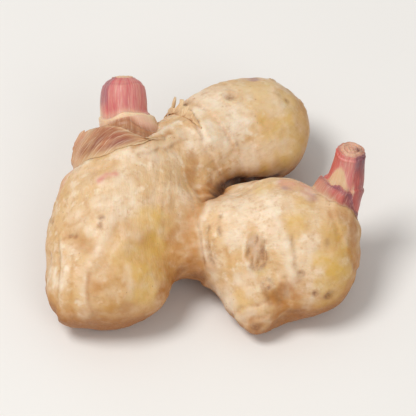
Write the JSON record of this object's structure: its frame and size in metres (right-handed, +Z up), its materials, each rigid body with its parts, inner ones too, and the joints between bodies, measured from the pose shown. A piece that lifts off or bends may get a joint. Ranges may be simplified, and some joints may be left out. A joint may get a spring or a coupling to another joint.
{
  "type": "ginger root",
  "caption": "Young ginger rhizome with fat rounded fingers, a pointed side bud and cut pink shoots, lying on its side.",
  "frame": {"origin": "on the resting plane, under the middle of the bounding box", "axes": "+Z up from the resting plane, -Y towards the front where the side bud points, +X towards the finger with the thin shoot"},
  "size_m": [0.0858, 0.0798, 0.0397],
  "materials": {
    "rhizome_skin": "thin moist pale cream skin, satin, with tan rings and yellow patches",
    "shoot_skin": "smooth pink shoot base, satin, cream at the foot",
    "sheath_skin": "thin pink and purple sheath, satin",
    "dry_scale": "dry papery brown scale, matte"
  },
  "bodies": {
    "root": {"rhizome": "rhizome_skin", "rear_shoot": "shoot_skin", "rear_collar_scale": "dry_scale", "right_shoot": "shoot_skin", "right_shoot_sheath": "sheath_skin", "neck_scale": "dry_scale"}
  },
  "joints": []
}
